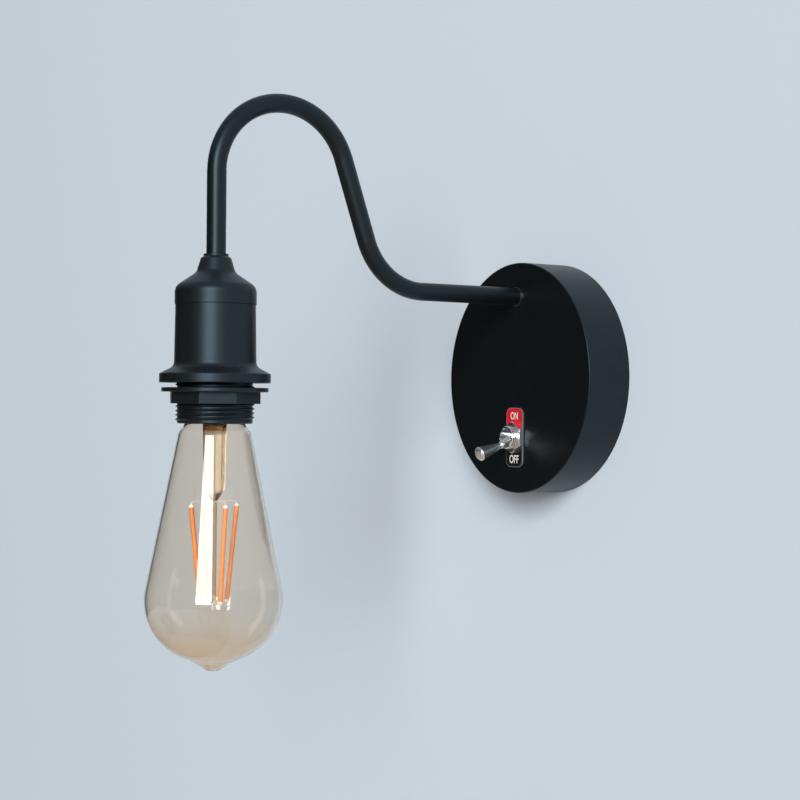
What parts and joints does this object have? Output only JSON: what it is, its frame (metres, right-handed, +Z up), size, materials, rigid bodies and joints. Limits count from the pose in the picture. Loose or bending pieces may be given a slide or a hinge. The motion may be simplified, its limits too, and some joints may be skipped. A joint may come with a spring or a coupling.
{
  "type": "wall lamp",
  "caption": "Black wall lamp: a round rose with a toggle switch carries a swan-neck arm and a lamp holder with a tapered filament bulb.",
  "frame": {"origin": "centre of the rose's back, on the wall", "axes": "+Y into the wall, +Z up, the lamp stands out along -Y"},
  "size_m": [0.1218, 0.2315, 0.2709],
  "materials": {
    "black_paint": "satin black powder coat",
    "black_plastic": "satin moulded plastic",
    "chrome": "bright plate",
    "zinc_steel": "zinc plate",
    "brass": "plain brass",
    "white_plastic": "moulded",
    "brown_plastic": "moulded phenolic",
    "legend": "red and black enamelled plate",
    "rubber": "plain",
    "amber_glass": "clear with a light amber tint",
    "clear_glass": "clear",
    "black_glass": "fused black glass",
    "filament": "orange phosphor coating",
    "circuit": "lacquered board",
    "brown_lead": "insulation",
    "blue_lead": "insulation",
    "green_lead": "insulation"
  },
  "bodies": {
    "lamp": {"rose_cover": "black_paint", "arm_tube": "black_paint", "neck_ring": "black_plastic", "holder_cap": "black_plastic", "holder_shell": "black_plastic", "threaded_skirt": "black_plastic", "arm_collar": "chrome", "side_screw": "chrome", "front_nut": "chrome", "switch_bush": "chrome", "locating_pin": "zinc_steel", "wall_bracket": "zinc_steel", "block_screw": "zinc_steel", "earth_washer": "zinc_steel", "arm_washer": "zinc_steel", "arm_nut": "zinc_steel", "lock_washer": "zinc_steel", "back_nut": "zinc_steel", "switch_frame": "zinc_steel", "pivot_pin": "zinc_steel", "neck_screw": "zinc_steel", "holder_screws": "zinc_steel", "contact_spring": "zinc_steel", "terminal_sleeves": "brass", "terminal_screws": "brass", "earth_screw": "brass", "earth_lug": "brass", "common_terminal": "brass", "load_terminal": "brass", "thread_shell": "brass", "shell_strap": "brass", "holder_terminals": "brass", "terminal_block": "white_plastic", "contact_carrier": "white_plastic", "switch_housing": "brown_plastic", "on_off_plate": "legend", "cable_bush": "rubber", "switched_lead": "brown_lead", "live_lead": "brown_lead", "neutral_lead": "blue_lead", "earth_lead": "green_lead"},
    "toggle": {"toggle_lever": "chrome", "toggle_plunger": "brass", "toggle_spring": "zinc_steel"},
    "rocker": {"contact_rocker": "brass"},
    "shade_ring": {"shade_ring": "black_plastic"},
    "contact": {"centre_contact": "brass", "contact_clip": "zinc_steel"},
    "bulb": {"bulb_glass": "amber_glass", "bulb_cap": "zinc_steel", "cap_insulator": "black_glass", "cap_contact": "brass", "driver_board": "circuit", "glass_stem": "clear_glass", "filament_wires": "chrome", "led_filaments": "filament"}
  },
  "joints": [
    {"name": "toggle_tilt", "type": "hinge", "parent": "lamp", "child": "toggle", "pos_m": [0, -0.0235, -0.031], "axis": [-1, 0, 0], "range_deg": [0, 37]},
    {"name": "rocker_tilt", "type": "hinge", "parent": "lamp", "child": "rocker", "pos_m": [0, -0.0128, -0.031], "axis": [-1, 0, 0], "range_deg": [-28, 0]},
    {"name": "shade_ring_travel", "type": "slide", "parent": "lamp", "child": "shade_ring", "axis": [0, 0, -1], "range_m": [-0.0019, 0.0145]},
    {"name": "contact_travel", "type": "slide", "parent": "lamp", "child": "contact", "axis": [0, 0, -1], "range_m": [0, 0.00363], "deforming": ["contact_spring"]},
    {"name": "bulb_turn", "type": "hinge", "parent": "contact", "child": "bulb", "pos_m": [0, -0.19953, -0.00472], "axis": [0, 0, -1], "range_deg": [0, 360]}
  ],
  "couplings": [
    {"joint": "rocker_tilt", "follows": "toggle_tilt", "ratio": -0.75676},
    {"joint": "contact_travel", "follows": "bulb_turn", "m_per_rad": 0.00057757}
  ]
}
